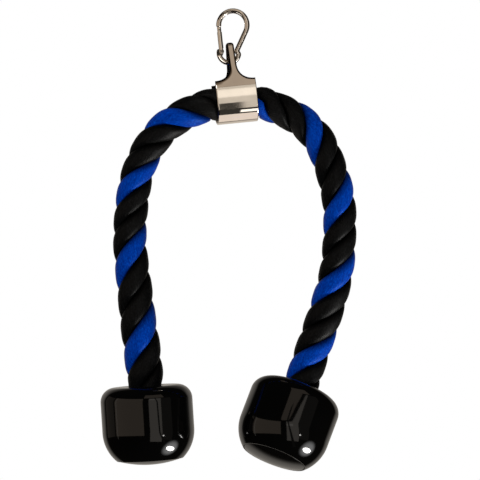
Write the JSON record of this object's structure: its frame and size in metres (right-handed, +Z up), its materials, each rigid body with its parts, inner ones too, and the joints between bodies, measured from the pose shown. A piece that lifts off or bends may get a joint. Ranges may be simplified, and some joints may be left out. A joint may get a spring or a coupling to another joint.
{
  "type": "triceps rope attachment",
  "caption": "Cable machine rope: thick twisted rope bent through a folded steel strap collar, with a moulded stop knob on each end and a gated snap hook on top.",
  "frame": {"origin": "inner top of the snap hook's bow, where the cable's end bears when the part hangs", "axes": "+X to the right seen from the front, +Y away from the front, +Z up"},
  "size_m": [0.2121, 0.0826, 0.3821],
  "materials": {
    "hook_steel": "bright plated steel wire",
    "pin_steel": "plain bright steel",
    "collar_steel": "bright plated steel strap",
    "zinc_steel": "zinc-plated steel",
    "rope_yarn": "soft filament yarn, black strands with a blue one",
    "knob_plastic": "glossy black moulding",
    "cap_plastic": "glossy black moulding"
  },
  "bodies": {
    "hook": {"carabiner_body": "hook_steel"},
    "gate": {"carabiner_gate": "hook_steel", "gate_rivet": "pin_steel", "gate_latch_pin": "pin_steel", "gate_plunger": "pin_steel", "gate_spring": "pin_steel"},
    "collar": {"collar_strap": "collar_steel", "rope_centre": "rope_yarn"},
    "left_upper": {"rope_left_upper": "rope_yarn"},
    "left_lower": {"rope_left_lower": "rope_yarn", "rope_left_tail": "rope_yarn", "ferrule_left": "zinc_steel", "washer_left": "zinc_steel", "screw_left": "zinc_steel"},
    "left_knob": {"knob_left_shell": "knob_plastic", "knob_left_cap": "cap_plastic"},
    "right_upper": {"rope_right_upper": "rope_yarn"},
    "right_lower": {"rope_right_lower": "rope_yarn", "rope_right_tail": "rope_yarn", "ferrule_right": "zinc_steel", "washer_right": "zinc_steel", "screw_right": "zinc_steel"},
    "right_knob": {"knob_right_shell": "knob_plastic", "knob_right_cap": "cap_plastic"}
  },
  "joints": [
    {"name": "gate_hinge", "type": "hinge", "parent": "hook", "child": "gate", "pos_m": [-0.01069, 0, -0.03118], "axis": [0, 1, 0], "range_deg": [0, 20], "stiffness_Nm_per_rad": 0.1, "springref_deg": -17.19},
    {"name": "collar_swing", "type": "hinge", "parent": "hook", "child": "collar", "pos_m": [-0.0024, 0, -0.04026], "axis": [0.9871, 0.1219, 0.1037], "range_deg": [-75, 75]},
    {"name": "limb_left", "type": "hinge", "parent": "collar", "child": "left_upper", "pos_m": [-0.044, 0, -0.0855], "axis": [0, 1, 0], "range_deg": [-3.5, 40], "stiffness_Nm_per_rad": 1.5, "springref_deg": 2.58, "deforming": ["rope_left_upper"]},
    {"name": "bend_left", "type": "hinge", "parent": "left_upper", "child": "left_lower", "pos_m": [-0.0861, 0, -0.19], "axis": [1, 0, 0], "range_deg": [-45, 45], "stiffness_Nm_per_rad": 0.8, "deforming": ["rope_left_lower"]},
    {"name": "twist_left", "type": "hinge", "parent": "left_lower", "child": "left_knob", "pos_m": [-0.0723, 0, -0.3076], "axis": [0.0663, 0, -0.9978], "continuous": true},
    {"name": "limb_right", "type": "hinge", "parent": "collar", "child": "right_upper", "pos_m": [0.046, 0, -0.0825], "axis": [0, -1, 0], "range_deg": [-3.5, 40], "stiffness_Nm_per_rad": 1.5, "springref_deg": 2.58, "deforming": ["rope_right_upper"]},
    {"name": "bend_right", "type": "hinge", "parent": "right_upper", "child": "right_lower", "pos_m": [0.0883, 0, -0.19], "axis": [1, 0, 0], "range_deg": [-45, 45], "stiffness_Nm_per_rad": 0.8, "deforming": ["rope_right_lower"]},
    {"name": "twist_right", "type": "hinge", "parent": "right_lower", "child": "right_knob", "pos_m": [0.0548, 0.004, -0.3109], "axis": [-0.3427, -0.2924, -0.8928], "continuous": true}
  ]
}
